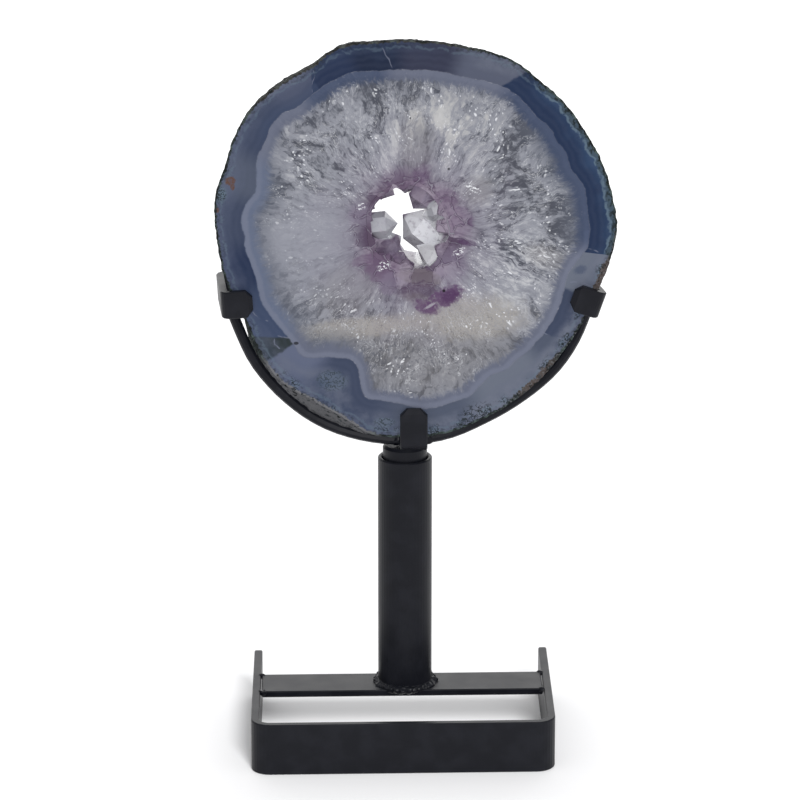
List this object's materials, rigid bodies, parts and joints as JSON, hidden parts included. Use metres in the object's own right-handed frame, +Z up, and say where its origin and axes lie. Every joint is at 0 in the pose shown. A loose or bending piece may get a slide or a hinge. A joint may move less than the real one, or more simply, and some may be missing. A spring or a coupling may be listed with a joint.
{
  "type": "amethyst slice on a metal stand",
  "caption": "Polished amethyst geode slice held upright by bent steel claws and rods, in a cradle that turns in the post of a U-shaped base.",
  "frame": {"origin": "On the floor, at the centre of the whole object's bounding box.", "axes": "+Z up, -Y towards the polished face's viewer, +X to that viewer's right."},
  "size_m": [0.1452, 0.08, 0.2677],
  "materials": {
    "slice_stone": "polished slate-blue chalcedony rim round grey-white quartz with a pale violet middle, rough rind outside",
    "crystal": "clear to pale violet quartz crystal with flat glossy faces",
    "black_steel": "satin black paint over bent and welded mild steel"
  },
  "bodies": {
    "stand": {"base_frame": "black_steel", "cross_bar": "black_steel", "post": "black_steel"},
    "cradle": {"spigot": "black_steel", "left_rod": "black_steel", "right_rod": "black_steel", "left_claw": "black_steel", "right_claw": "black_steel", "bottom_claw": "black_steel", "slice": "slice_stone", "crystal_crust": "crystal"}
  },
  "joints": [
    {"name": "swivel", "type": "hinge", "parent": "stand", "child": "cradle", "pos_m": [-0.00357, 0.0037, 0.108], "axis": [0, 0, 1], "continuous": true}
  ]
}
